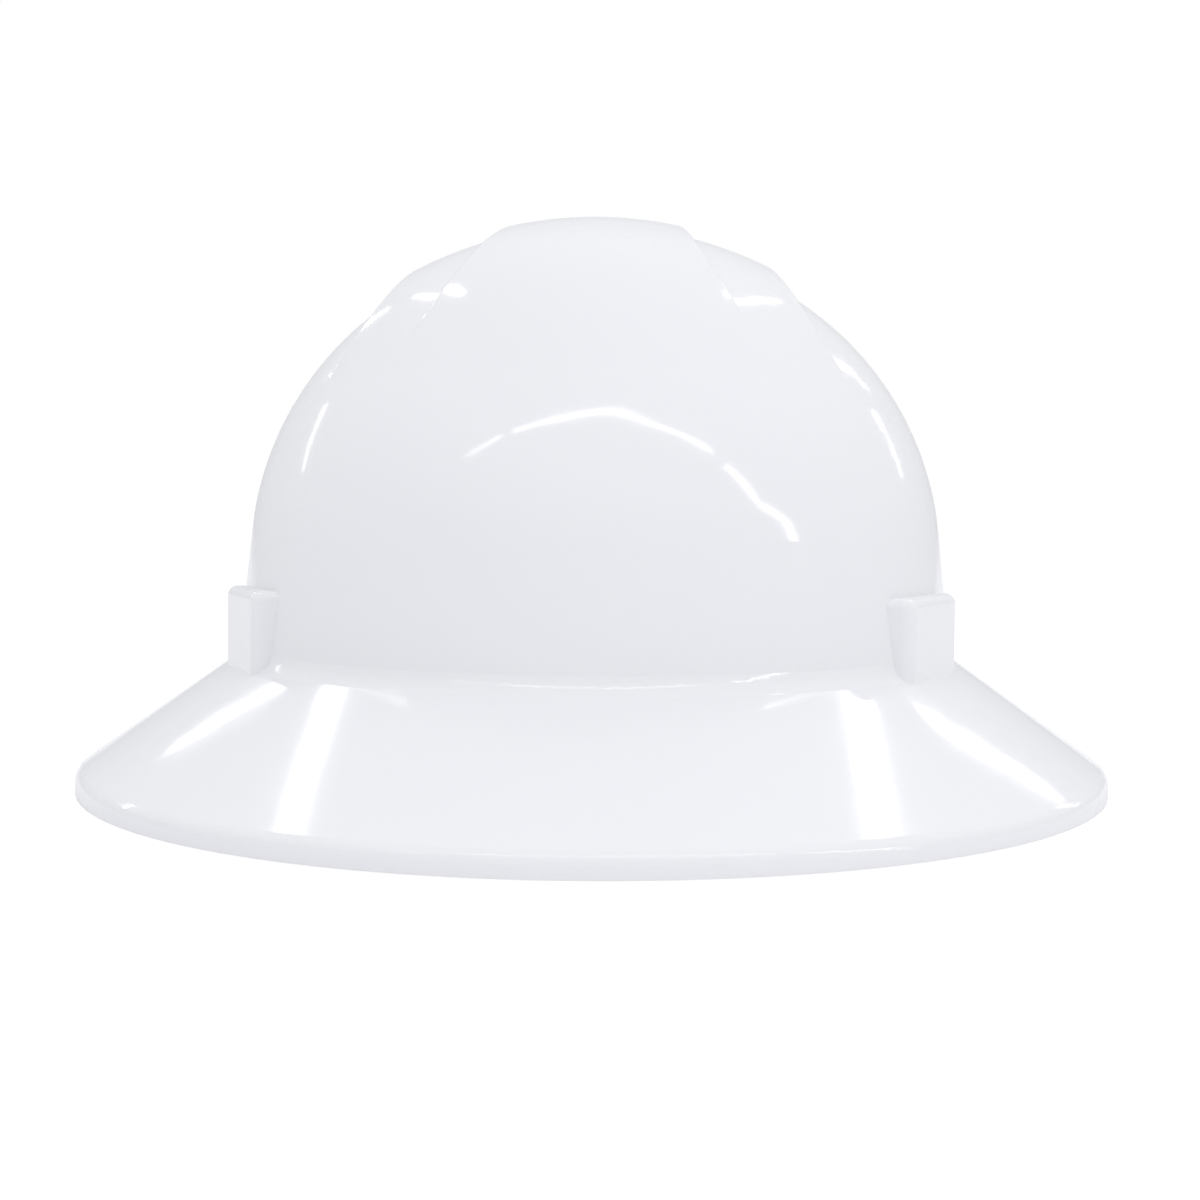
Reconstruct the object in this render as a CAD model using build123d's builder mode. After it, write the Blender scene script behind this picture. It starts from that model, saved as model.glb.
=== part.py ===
"""Full brim hard hat with a webbing suspension and a ratchet headband.

Millimetres, +Z up, the front of the hat toward -Y, the wearer's left toward +X, the brim's edge on z = 0.
"""

from math import acos, asin, atan2, cos, degrees, hypot, pi, radians, sin, sqrt, tan

from build123d import *

# Shell
rim_half_width = 151.0
length_share = 1.2
root_half_width = 105.9
root_height = 37.0
wall_draft = 5.9
shoulder_height = 73.0
shoulder_radius = 93.4
crown_radius = 110.8
brim_slope = 35.2
root_fillet = 7.0
lip_radius = 4.0
lip_edge_fillet = 1.0
shell_wall = 2.5

# Raised crown: a broad shelf with a narrower ridge on it
shelf_rise = 4.2
shelf_half_width = 50.8
shelf_fade_start = 58.0
shelf_fade_end = 90.0
shelf_edge_fillet = 1.6
ridge_rise = 6.9
ridge_half_width = 24.2
ridge_fade_start = 46.0
ridge_fade_end = 90.0
ridge_edge_fillet = 1.2
step_draft = 30.0
fade_sink = 0.2
step_root_depth = 14.0

# Vents in the shelf's side walls
vent_inner_x = 46.0
vent_outer_x = 60.0
vent_near = 6.0
vent_length = 44.0
vent_floor = 0.7
vent_roof = 2.8

# Accessory pockets at the sides
block_front_x = 88.5
block_front_y = -78.0
block_rear_x = 104.3
block_rear_y = -40.5
block_depth = 18.0
block_top = 57.5
block_foot = 10.0
block_front_fillet = 5.0
block_rear_fillet = 2.2
block_top_fillet = 2.6
pocket_thickness = 5.8
pocket_length = 30.0
pocket_roof = 52.0
pocket_skin = 2.0
pocket_core_foot = 33.0

# Key sockets inside the shell and the six keys that carry the suspension
key_angles = {
    "front_left": -55.0,
    "front_right": -125.0,
    "side_left": 0.0,
    "side_right": 180.0,
    "rear_left": 55.0,
    "rear_right": 125.0,
}
socket_level = 50.0
socket_width = 26.0
socket_reach = 8.1
socket_embed = 4.0
socket_foot = 42.0
socket_top = 60.0
blade_width = 20.0
blade_near = 3.2
blade_thickness = 2.6
blade_top = 57.0
blade_gap = 0.25
key_width = 25.0
key_near = 3.5
key_far = 16.5
key_foot = 38.0
key_plate = 3.4
cheek_near = 8.6
cheek_top = 48.5
cheek_thickness = 2.4
cheek_round = 2.0
bar_reach = 11.4
bar_height = 45.2
bar_radius = 1.5
cheek_far = 14.2
tongue_thickness = 2.0
tongue_width = 12.0
tongue_foot = 30.0

# Crown webbing
web_width = 19.0
web_thickness = 1.2
web_loop_gap = 0.15
web_fold_top = 64.0
web_crossing = 121.0
web_layer_gap = 0.8

# Headband
ring_centre_y = 2.0
band_half_width = 81.0
band_half_length = 104.0
band_thickness = 1.6
band_front_foot = 24.0
band_front_top = 54.0
band_side_top = 40.0
band_bend_near = -12.0
band_bend_far = -34.0
band_slot_width = 13.0
band_slot_height = 4.0
band_slot_level = 46.0
band_slot_angles = (-90.0, -70.0, -110.0, -38.0, -142.0)
staple_width = 16.0
staple_foot = 28.8
staple_top = 37.6
staple_skin = 1.4
tongue_gap = 0.2

# Sweatband
sweat_thickness = 3.3
sweat_gap = 0.1
sweat_rear_y = -35.0
sweat_foot = 22.0
sweat_top = 50.0
sweat_lip_top = 28.2
sweat_lip_thickness = 1.2

# Rack straps and their pins
strap_height = 14.0
strap_level = 21.0
strap_thickness = 1.6
strap_side_gap = 0.2
strap_layer_gap = 0.4
strap_tail = 31.0
eye_gap = 0.6
pin_radius = 3.0
pin_gap = 0.08
pin_head_radius = 6.0
pin_head_thickness = 1.4
pin_head_x = 90.3
pin_seat_gap = 0.3

# Rack and pinion
module = 0.8
pinion_teeth = 10
first_tooth_angle = 90.0
tooth_share = 0.36
tooth_flank = 20.0
tooth_depth_share = 1.3
tooth_height_share = 0.93
rack_half_length = 21.5
slot_relief = 0.45
tooth_end_gap = 0.3
journal_radius = 3.4
stub_radius = 1.8
drive_square = 4.8

# Ratchet housing, cover and their screws
house_angle = 32.0
house_height = 27.0
plate_radius = 83.2
plate_thickness = 2.8
channel_depth = 4.0
channel_gap = 0.3
channel_end_angle = 2.0
cover_thickness = 2.2
cover_gap = 0.1
house_corner = 6.0
boss_radius = 14.4
boss_height = 0.7
detent_outer = 11.8
detent_inner = 10.4
detent_height = 3.0
detent_count = 30
detent_depth = 0.6
running_gap = 0.08
screw_angle = 24.0
screw_radius = 1.2
screw_head_radius = 2.4
screw_head_height = 1.4
screw_tip_depth = 1.4
screw_hole_gap = 0.05
screw_slot = 0.7
screw_slot_length = 3.4

# Knob
knob_radius = 15.0
knob_seat_gap = 0.4
knob_height = 9.0
knob_face = 2.8
knob_bore_radius = 12.4
knob_hub_radius = 4.4
knob_grips = 10
grip_radius = 3.6
grip_distance_share = 1.13
knob_edge_chamfer = 1.2
square_gap = 0.06
knob_screw_radius = 1.3
knob_screw_head = 3.1
knob_screw_head_height = 1.6
knob_screw_slot_length = 4.3
knob_screw_reach = 1.4
spring_seat_gap = 0.7
spring_thickness = 2.0
spring_ring_outer = 6.4
spring_arm = 1.1

# Nape pad
pad_angle = 29.0
pad_thickness = 3.6
pad_height = 25.0
pad_gap = 0.05

# Cutters reach past what they cut by this much
overrun = 2.0


def out(name, part):
    """One solid to its own STEP file."""
    part.label = name
    export_step(part, f"parts/{name}.step")


# The meridian is one chain of tangent arcs and lines, told by the centres of its arcs
draft = radians(wall_draft)
slope = radians(brim_slope)
wall_normal = (cos(draft), sin(draft))
brim_normal = (sin(slope), cos(slope))
shoulder_x = root_half_width - (shoulder_height - root_height) * tan(draft)
shoulder_centre = (shoulder_x - shoulder_radius * cos(draft), shoulder_height - shoulder_radius * sin(draft))
centre_drop = sqrt((crown_radius - shoulder_radius) ** 2 - shoulder_centre[0] ** 2)
crown_centre = (0.0, shoulder_centre[1] - centre_drop)
crown_angle = degrees(atan2(centre_drop, shoulder_centre[0]))
crown_top = crown_centre[1] + crown_radius
turn = wall_normal[0] * brim_normal[1] - wall_normal[1] * brim_normal[0]
fillet_centre = (
    root_half_width + root_fillet * (brim_normal[1] - wall_normal[1]) / turn,
    root_height + root_fillet * (wall_normal[0] - brim_normal[0]) / turn,
)
lip_centre_x = rim_half_width - lip_radius
lip_centre = (
    lip_centre_x,
    root_height - (lip_radius + (lip_centre_x - root_half_width) * brim_normal[0]) / brim_normal[1],
)
hat_top = crown_top + ridge_rise
half_length = rim_half_width * length_share


def wall_x(height, inset):
    """Half width of the dome's straight wall at a height, inset from its outer face."""
    return root_half_width - (height - root_height) * tan(draft) - inset / cos(draft)


def dome_point(radius, rise):
    """A point of the dome's meridian, moved out along its normal."""
    if radius <= crown_radius * cos(radians(crown_angle)):
        centre, arc = crown_centre, crown_radius
    else:
        centre, arc = shoulder_centre, shoulder_radius
    angle = acos((radius - centre[0]) / arc)
    return (centre[0] + (arc + rise) * cos(angle), centre[1] + (arc + rise) * sin(angle)), angle


def dome_form(inset, foot):
    """What lies under the shell's skin, inset from its outer face, as a solid of revolution."""
    with BuildPart() as form:
        with BuildSketch(Plane.XZ):
            with BuildLine():
                crown = CenterArc(crown_centre, crown_radius - inset, crown_angle, 90.0 - crown_angle)
                sweep = crown_angle - wall_draft
                shoulder = CenterArc(shoulder_centre, shoulder_radius - inset, wall_draft, sweep)
                sweep = 90.0 - brim_slope - wall_draft
                bend = CenterArc(fillet_centre, root_fillet + inset, 180.0 + wall_draft, sweep)
                lip = CenterArc(lip_centre, lip_radius - inset, 0.0, 90.0 - brim_slope)
                Line(shoulder @ 0, bend @ 0)
                Line(bend @ 1, lip @ 1)
                edge = (lip @ 0).X
                Polyline(lip @ 0, (edge, foot), (0, foot), crown @ 1)
            make_face()
        revolve(axis=Axis.Z)
    return form.part


def raised_level(rise, half_width, fade_start, fade_end, inset, edge_fillet):
    """A band along the crown that follows the dome and sinks into the level below at both ends."""
    start, start_angle = dome_point(fade_start, rise - inset)
    end, end_angle = dome_point(fade_end, -inset - fade_sink)
    with BuildPart() as level:
        with BuildSketch(Plane.XZ):
            with BuildLine():
                first = degrees(start_angle)
                top = CenterArc(crown_centre, crown_radius + rise - inset, first, 90.0 - first)
                Spline(
                    start,
                    end,
                    tangents=((sin(start_angle), -cos(start_angle)), (sin(end_angle), -cos(end_angle))),
                )
                foot = end[1] - step_root_depth
                Polyline(end, (end[0], foot), (0, foot), top @ 1)
            make_face()
        revolve(axis=Axis.Z)
        corner, _ = dome_point(half_width, rise)
        half = half_width - inset
        with BuildSketch(Plane.XZ):
            flare = (corner[1] - foot + overrun) * tan(radians(step_draft))
            narrow = (crown_top + rise + overrun - corner[1]) * tan(radians(step_draft))
            Polygon(
                (half - narrow, crown_top + rise + overrun),
                (half + flare, foot - overrun),
                (-half - flare, foot - overrun),
                (narrow - half, crown_top + rise + overrun),
                align=None,
            )
        extrude(amount=rim_half_width, both=True, mode=Mode.INTERSECT)
        if edge_fillet:
            walls = level.faces().filter_by(GeomType.PLANE).sort_by(Axis.X)
            sides = (walls[0], walls[-1])
            rims = [e for f in sides for e in f.edges() if e.center().Z > foot + step_root_depth]
            fillet(rims, edge_fillet)
    return level.part


def radial_plane(angle, distance, height=0.0):
    """A frame on the vertical line at a distance from the hat's axis: x along the wall, y inward, z up."""
    a = radians(angle)
    origin = (distance * cos(a), distance * sin(a), height)
    return Plane(origin=origin, x_dir=(-sin(a), cos(a), 0), z_dir=(0, 0, 1))


def wall_distance(angle, inset):
    """How far the dome's inner wall is from the axis at the sockets' level, in one direction."""
    a = radians(angle)
    half = wall_x(socket_level, inset)
    return 1 / hypot(cos(a) / half, sin(a) / (half * length_share))


def block_box(near, far, length, foot, top):
    """A box along the accessory pocket's outer face, between two depths behind that face."""
    run = hypot(block_rear_x - block_front_x, block_rear_y - block_front_y)
    u = ((block_rear_x - block_front_x) / run, (block_rear_y - block_front_y) / run)
    middle = ((block_front_x + block_rear_x) / 2, (block_front_y + block_rear_y) / 2)
    depth = (near + far) / 2
    centre = (middle[0] - u[1] * depth, middle[1] + u[0] * depth, foot)
    frame = Plane(origin=centre, x_dir=(u[1], -u[0], 0), z_dir=(0, 0, 1))
    with BuildPart() as box:
        with BuildSketch(frame):
            Rectangle(far - near, length)
        extrude(amount=top - foot)
    return box.part


def accessory_block():
    """The pocket's block on the wearer's left, before the dome is taken out of it."""
    with BuildPart() as block:
        with BuildSketch(Plane.XY.offset(block_foot)):
            Polygon(
                (block_front_x, block_front_y),
                (block_rear_x, block_rear_y),
                (block_rear_x - block_depth, block_rear_y),
                (block_front_x - block_depth, block_front_y),
                align=None,
            )
        extrude(amount=block_top - block_foot)
        upright = block.edges().filter_by(Axis.Z)
        fillet(upright.sort_by(Axis.Y)[:2].sort_by(Axis.X)[-1:], block_front_fillet)
        fillet(block.edges().filter_by(Axis.Z).sort_by(Axis.Y)[-2:].sort_by(Axis.X)[-1:], block_rear_fillet)
        fillet(block.faces().sort_by(Axis.Z)[-1].edges().sort_by(Axis.X)[1:], block_top_fillet)
    return block.part


# The shell: one moulding with a wall of one thickness, hollow ridges, vents, pockets and sockets
half_wall = shell_wall / 2
with BuildPart() as vents:
    with BuildSketch(Plane.XZ):
        with BuildLine():
            _, near_angle = dome_point(vent_inner_x, 0.0)
            _, far_angle = dome_point(vent_outer_x, 0.0)
            spread = degrees(near_angle - far_angle)
            floor_arc = CenterArc(crown_centre, crown_radius + vent_floor, degrees(far_angle), spread)
            roof_arc = CenterArc(crown_centre, crown_radius + vent_roof, degrees(far_angle), spread)
            Line(floor_arc @ 0, roof_arc @ 0)
            Line(floor_arc @ 1, roof_arc @ 1)
        make_face()
    revolve(axis=Axis.Z)
    with BuildSketch(Plane.XY):
        middle_y = (vent_near + vent_length / 2) / length_share
        with GridLocations(vent_inner_x + vent_outer_x, 2 * middle_y, 2, 2):
            Rectangle(vent_outer_x - vent_inner_x, vent_length / length_share)
    extrude(amount=hat_top, mode=Mode.INTERSECT)

with BuildPart() as hollow:
    add(dome_form(shell_wall, -overrun))
    add(raised_level(shelf_rise, shelf_half_width, shelf_fade_start, shelf_fade_end, shell_wall, 0.0))
    add(raised_level(ridge_rise, ridge_half_width, ridge_fade_start, ridge_fade_end, shell_wall, 0.0))
    scale(by=(1, length_share, 1))

with BuildPart() as dome:
    add(dome_form(0.0, 0.0))
    add(raised_level(shelf_rise, shelf_half_width, shelf_fade_start, shelf_fade_end, 0.0, shelf_edge_fillet))
    add(raised_level(ridge_rise, ridge_half_width, ridge_fade_start, ridge_fade_end, 0.0, ridge_edge_fillet))
    add(vents.part, mode=Mode.SUBTRACT)
    scale(by=(1, length_share, 1))

with BuildPart() as inner_features:
    for angle in key_angles.values():
        frame = radial_plane(angle, wall_distance(angle, shell_wall), socket_foot)
        with BuildSketch(frame):
            with Locations((0, (socket_reach - socket_embed) / 2)):
                Rectangle(socket_width, socket_reach + socket_embed)
        extrude(amount=socket_top - socket_foot)
    core_depth = pocket_thickness + 2 * pocket_skin
    core_length = pocket_length + 2 * pocket_skin
    core = block_box(half_wall, core_depth, core_length, pocket_core_foot, pocket_roof + pocket_skin)
    add(core)
    add(mirror(core, about=Plane.YZ))

with BuildPart() as mid_wall:
    add(dome_form(half_wall, -overrun))
    scale(by=(1, length_share, 1))

with BuildPart() as inner_parts:
    add(inner_features.part)
    add(mid_wall.part, mode=Mode.INTERSECT)

with BuildPart() as shell:
    add(dome.part)
    block = accessory_block()
    add(block)
    add(mirror(block, about=Plane.YZ))
    add(hollow.part, mode=Mode.SUBTRACT)
    add(inner_parts.part)
    pocket = block_box(pocket_skin, pocket_skin + pocket_thickness, pocket_length, -overrun, pocket_roof)
    add(pocket, mode=Mode.SUBTRACT)
    add(mirror(pocket, about=Plane.YZ), mode=Mode.SUBTRACT)
    for angle in key_angles.values():
        frame = radial_plane(angle, wall_distance(angle, shell_wall), socket_foot - overrun)
        with BuildSketch(frame):
            with Locations((0, blade_near + blade_thickness / 2)):
                Rectangle(blade_width + 2 * blade_gap, blade_thickness + 2 * blade_gap)
        extrude(amount=blade_top + blade_gap - socket_foot + overrun, mode=Mode.SUBTRACT)
out("shell", shell.part)

# The six keys: a blade for the socket, a bar for the webbing, and on four of them a tongue for the headband
for name, angle in key_angles.items():
    frame = radial_plane(angle, wall_distance(angle, shell_wall))
    side = Plane(origin=frame.origin, x_dir=frame.y_dir, z_dir=frame.x_dir)
    with BuildPart() as key:
        with BuildSketch(side):
            with Locations((blade_near + blade_thickness / 2, (key_foot + blade_top) / 2)):
                Rectangle(blade_thickness, blade_top - key_foot)
        extrude(amount=blade_width / 2, both=True)
        fillet(key.faces().sort_by(Axis.Z)[-1].edges(), blade_gap)
        with BuildSketch(side):
            with Locations(((key_near + cheek_far) / 2, key_foot + key_plate / 2)):
                Rectangle(cheek_far - key_near, key_plate)
        extrude(amount=key_width / 2, both=True)
        for end in (-1, 1):
            with BuildSketch(side.offset(end * (key_width - cheek_thickness) / 2)):
                with Locations(((cheek_near + cheek_far) / 2, (key_foot + cheek_top) / 2)):
                    RectangleRounded(cheek_far - cheek_near, cheek_top - key_foot, cheek_round)
            extrude(amount=cheek_thickness / 2, both=True)
        with BuildSketch(side):
            with Locations((bar_reach, bar_height)):
                Circle(bar_radius)
        extrude(amount=key_width / 2 - cheek_thickness / 2, both=True)
        if not name.startswith("rear"):
            with BuildSketch(side):
                with Locations(((cheek_far + key_far) / 2, key_foot + key_plate / 2)):
                    Rectangle(key_far - cheek_far, key_plate)
                tongue_level = (tongue_foot + key_foot) / 2 + key_plate / 4
                with Locations((key_far - tongue_thickness / 2, tongue_level)):
                    Rectangle(tongue_thickness, key_foot - tongue_foot + key_plate / 2)
            extrude(amount=tongue_width / 2, both=True)
    out(f"{name}_key", key.part)

# Crown webbing: each strap ends in a sewn loop round the bars of two opposite keys
webs = (("front_left_to_rear_right", -55.0), ("front_right_to_rear_left", -125.0), ("side_to_side", 0.0))
for layer, (name, angle) in enumerate(webs):
    a = radians(angle)
    crossing = Plane(origin=(0, 0, bar_height), x_dir=(cos(a), sin(a), 0), z_dir=(sin(a), -cos(a), 0))
    reach = wall_distance(angle, shell_wall) - bar_reach
    rise = web_crossing + layer * (web_thickness + web_layer_gap) - bar_height
    ring = bar_radius + web_loop_gap
    with BuildPart() as web:
        with BuildSketch(crossing):
            Ellipse(reach + web_thickness, rise + web_thickness)
            with Locations((0, web_fold_top - bar_height)):
                Rectangle(2 * half_length, hat_top, align=(Align.CENTER, Align.MIN), mode=Mode.SUBTRACT)
            Ellipse(reach, rise)
            Ellipse(reach - web_thickness, rise - web_thickness, mode=Mode.SUBTRACT)
            Rectangle(2 * half_length, hat_top, align=(Align.CENTER, Align.MAX), mode=Mode.SUBTRACT)
            with Locations((-reach, 0), (reach, 0)):
                Circle(ring + web_thickness)
            with Locations((-reach, 0), (reach, 0)):
                Circle(ring, mode=Mode.SUBTRACT)
        extrude(amount=web_width / 2, both=True)
    out(f"{name}_strap", web.part)

# Headband: an elliptical band from pin to pin round the brow, deep in front and low at the pins
side_view = Plane.YZ
brow = (ring_centre_y - band_half_length - band_thickness, ring_centre_y)
eye_radius = strap_height / 2


def band_ring(inner, outer, foot, top, rear):
    """The part of an elliptical wall in front of a line across the hat."""
    with BuildPart() as wall:
        with BuildSketch(Plane.XY.offset(foot)):
            with Locations((0, ring_centre_y)):
                Ellipse(band_half_width + outer, band_half_length + outer)
                Ellipse(band_half_width + inner, band_half_length + inner, mode=Mode.SUBTRACT)
            with Locations((0, rear)):
                rear = (Align.CENTER, Align.MIN)
                Rectangle(2 * half_length, 2 * half_length, align=rear, mode=Mode.SUBTRACT)
        extrude(amount=top - foot)
    return wall.part


with BuildPart() as headband:
    add(band_ring(0.0, band_thickness, strap_level - eye_radius, band_front_top, ring_centre_y))
    with BuildSketch(Plane.XY.offset(strap_level - eye_radius)):
        for end in (-1, 1):
            with Locations((end * (band_half_width + band_thickness / 2), ring_centre_y)):
                Rectangle(band_thickness, eye_radius + overrun, align=(Align.CENTER, Align.MIN))
    extrude(amount=band_front_top - strap_level + eye_radius)
    with BuildSketch(side_view):
        with BuildLine():
            low = strap_level - eye_radius
            start = (brow[0] - overrun, band_front_foot)
            Line(start, (band_bend_far, band_front_foot))
            Spline(
                (band_bend_far, band_front_foot),
                (band_bend_near, low),
                tangents=((1, 0), (1, 0)),
            )
            Line((band_bend_near, low), (ring_centre_y, low))
            eye_low = (ring_centre_y, low)
            eye_high = (ring_centre_y + eye_radius, strap_level)
            RadiusArc(eye_low, eye_high, -eye_radius)
            shelf_y = ring_centre_y + eye_radius
            Line(eye_high, (shelf_y, band_side_top - eye_radius))
            RadiusArc((shelf_y, band_side_top - eye_radius), (ring_centre_y, band_side_top), -eye_radius)
            Line((ring_centre_y, band_side_top), (band_bend_near, band_side_top))
            Spline(
                (band_bend_near, band_side_top),
                (2 * band_bend_far, band_front_top),
                tangents=((-1, 0), (-1, 0)),
            )
            Polyline((2 * band_bend_far, band_front_top), (brow[0] - overrun, band_front_top), start)
        make_face()
    extrude(amount=rim_half_width, both=True, mode=Mode.INTERSECT)
    for name, angle in key_angles.items():
        if name.startswith("rear"):
            continue
        distance = wall_distance(angle, shell_wall)
        frame = radial_plane(angle, distance, staple_foot)
        near = key_far - tongue_thickness - tongue_gap - staple_skin
        with BuildPart(mode=Mode.PRIVATE) as staple:
            with BuildSketch(frame):
                with Locations((0, near)):
                    Rectangle(staple_width, key_far, align=(Align.CENTER, Align.MIN))
            extrude(amount=staple_top - staple_foot)
            with BuildSketch(Plane.XY):
                with Locations((0, ring_centre_y)):
                    inset = band_thickness / 2
                    Ellipse(band_half_width + inset, band_half_length + inset)
            extrude(amount=staple_top, mode=Mode.SUBTRACT)
        add(staple.part)
        with BuildSketch(frame):
            with Locations((0, key_far - tongue_thickness / 2)):
                Rectangle(tongue_width + 2 * tongue_gap, tongue_thickness + 2 * tongue_gap)
        extrude(amount=staple_top, mode=Mode.SUBTRACT)
    for angle in band_slot_angles:
        frame = radial_plane(angle, 0.0, band_slot_level - band_slot_height / 2)
        with BuildSketch(frame):
            Rectangle(band_slot_width, 2 * half_length, align=(Align.CENTER, Align.MAX))
        extrude(amount=band_slot_height, mode=Mode.SUBTRACT)
    with BuildSketch(side_view):
        with Locations((ring_centre_y, strap_level)):
            Circle(pin_radius + pin_gap)
    extrude(amount=rim_half_width, both=True, mode=Mode.SUBTRACT)
out("headband", headband.part)

with BuildPart() as sweatband:
    add(band_ring(-sweat_gap - sweat_thickness, -sweat_gap, sweat_foot, sweat_top, sweat_rear_y))
    lip_outer = band_thickness + sweat_gap + sweat_lip_thickness
    add(band_ring(band_thickness + sweat_gap, lip_outer, sweat_foot, sweat_lip_top, sweat_rear_y))
    lip_level = band_front_foot - sweat_gap
    add(band_ring(-sweat_gap - sweat_thickness, lip_outer, sweat_foot, lip_level, sweat_rear_y))
out("sweatband", sweatband.part)

# Pins that hold the rack straps to the headband and let the nape piece tilt
for name, end in (("left", 1), ("right", -1)):
    frame = Plane(origin=(0, ring_centre_y, strap_level), x_dir=(0, 1, 0), z_dir=(end, 0, 0))
    head_foot = band_half_width - pin_seat_gap - pin_head_thickness
    with BuildPart() as pin:
        with BuildSketch(frame.offset(head_foot)):
            Circle(pin_head_radius)
        extrude(amount=pin_head_thickness)
        with BuildSketch(frame.offset(head_foot)):
            Circle(pin_radius)
        extrude(amount=pin_head_x - head_foot)
        with BuildSketch(frame.offset(pin_head_x)):
            Circle(pin_head_radius)
        extrude(amount=pin_head_thickness)
        rims = pin.edges().filter_by(GeomType.CIRCLE).sort_by(Axis.X)
        chamfer([rims[0], rims[-1]], pin_head_thickness / 3)
    out(f"{name}_strap_pin", pin.part)

# The ratchet's layers, from the plate outward
channel_inner = plate_radius + plate_thickness
channel_outer = channel_inner + channel_depth
cover_inner = channel_outer + cover_gap
cover_outer = cover_inner + cover_thickness
screw_tip_radius = plate_radius + screw_tip_depth
right_strap_radius = channel_inner + strap_side_gap
left_strap_radius = right_strap_radius + strap_thickness + strap_layer_gap
boss_front_y = ring_centre_y + cover_outer + boss_height
detent_front_y = boss_front_y + detent_height
knob_back_y = boss_front_y + knob_seat_gap
knob_front_y = knob_back_y + knob_height
knob_screw_tip_y = boss_front_y + knob_screw_reach
spring_near_y = boss_front_y + spring_seat_gap

# Rack straps: arcs round the ring's centre, lying on each other behind the head
pitch = pi * module
pinion_pitch_radius = module * pinion_teeth / 2
addendum = module * tooth_height_share
dedendum = module * tooth_depth_share
flank = tan(radians(tooth_flank))
ring_axis = Axis((0, ring_centre_y, 0), (0, 0, 1))


def sector(inner, outer, first, last):
    """A flat sector of a ring round the strap centre, drawn in the active sketch's plane."""
    with BuildSketch(mode=Mode.PRIVATE) as drawn:
        with BuildLine():
            inside = CenterArc((0, ring_centre_y), inner, first, last - first)
            outside = CenterArc((0, ring_centre_y), outer, first, last - first)
            Line(inside @ 0, outside @ 0)
            Line(inside @ 1, outside @ 1)
        make_face()
    return drawn.sketch


def rack_strap(radius, upward):
    """The strap of the wearer's left: an eye at the pin, a slot with a rack along one edge, a tail."""
    outer = radius + strap_thickness
    mean = radius + strap_thickness / 2
    tail_angle = 90.0 + degrees(strap_tail / mean)
    eye_angle = degrees(asin(eye_radius / mean))
    with BuildPart() as strap:
        with BuildSketch(Plane.XY.offset(strap_level - strap_height / 2)):
            add(sector(radius, outer, -eye_angle, tail_angle))
        extrude(amount=strap_height)
        tail = strap.edges().filter_by(GeomType.LINE).sort_by(Axis.X)[:4]
        fillet([e for e in tail if e.length < strap_thickness + running_gap], strap_height / 4)
        with BuildSketch(Plane.YZ.offset(radius * cos(radians(eye_angle)) - overrun)):
            with Locations((ring_centre_y, strap_level)):
                Rectangle(eye_radius + overrun, strap_height + overrun, align=(Align.MAX, Align.CENTER))
                Circle(eye_radius, mode=Mode.SUBTRACT)
                Circle(pin_radius + eye_gap)
        extrude(amount=2 * overrun + 2 * strap_thickness, mode=Mode.SUBTRACT)
        half_angle = degrees(rack_half_length / mean)
        near = pinion_pitch_radius - addendum
        far = pinion_pitch_radius + addendum + slot_relief
        foot = strap_level - (far if upward else near)
        with BuildSketch(Plane.XY.offset(foot)):
            add(sector(radius - overrun, outer + overrun, 90.0 - half_angle, 90.0 + half_angle))
        extrude(amount=near + far, mode=Mode.SUBTRACT)
        gap_half = (pitch - tooth_share * pitch) / 2
        count = int(rack_half_length / pitch - tooth_share)
        up = 1 if upward else -1
        for step in range(-count, count + 1):
            a = radians(90.0) + step * pitch / mean
            origin = ((radius - overrun) * cos(a), ring_centre_y + (radius - overrun) * sin(a), strap_level)
            frame = Plane(origin=origin, x_dir=(-sin(a), cos(a), 0), z_dir=(cos(a), sin(a), 0))
            with BuildSketch(frame):
                wide = gap_half + (addendum + slot_relief) * flank
                thin = gap_half - dedendum * flank
                base = up * (pinion_pitch_radius - addendum - slot_relief)
                root = up * (pinion_pitch_radius + dedendum)
                Polygon((-wide, base), (wide, base), (thin, root), (-thin, root), align=None)
            extrude(amount=strap_thickness + 2 * overrun, mode=Mode.SUBTRACT)
    return strap.part


left_strap = rack_strap(left_strap_radius, True)
out("left_rack_strap", left_strap)
out("right_rack_strap", mirror(rack_strap(right_strap_radius, False), about=Plane.YZ))

# Ratchet housing: a curved plate with two rails that leave the straps a channel
house_foot = strap_level - house_height / 2
channel_height = strap_height + 2 * channel_gap
first, last = 90.0 - house_angle, 90.0 + house_angle
knob_axis = Plane(origin=(0, 0, strap_level), x_dir=(1, 0, 0), z_dir=(0, 1, 0))
screw_level = (house_height + channel_height) / 4


def round_corners(part, radius, thickness):
    """The four upright ends' corner edges of a curved plate, rounded."""
    through = [e for e in part.edges() if abs(e.length - thickness) < running_gap]
    ends = [e for e in through if abs(e.tangent_at(0.5).Z) < 0.5]
    fillet(ends, radius)


def screw_bores(radius, tip):
    """Four bores for the screws, along the radii of the curved plates."""
    with BuildPart() as bores:
        for turn_angle in (-screw_angle, screw_angle):
            a = radians(90.0 + turn_angle)
            for side in (-1, 1):
                origin = (tip * cos(a), ring_centre_y + tip * sin(a), strap_level + side * screw_level)
                with BuildSketch(Plane(origin=origin, x_dir=(0, 0, 1), z_dir=(cos(a), sin(a), 0))):
                    Circle(radius)
                extrude(amount=cover_outer + overrun - tip)
    return bores.part


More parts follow.
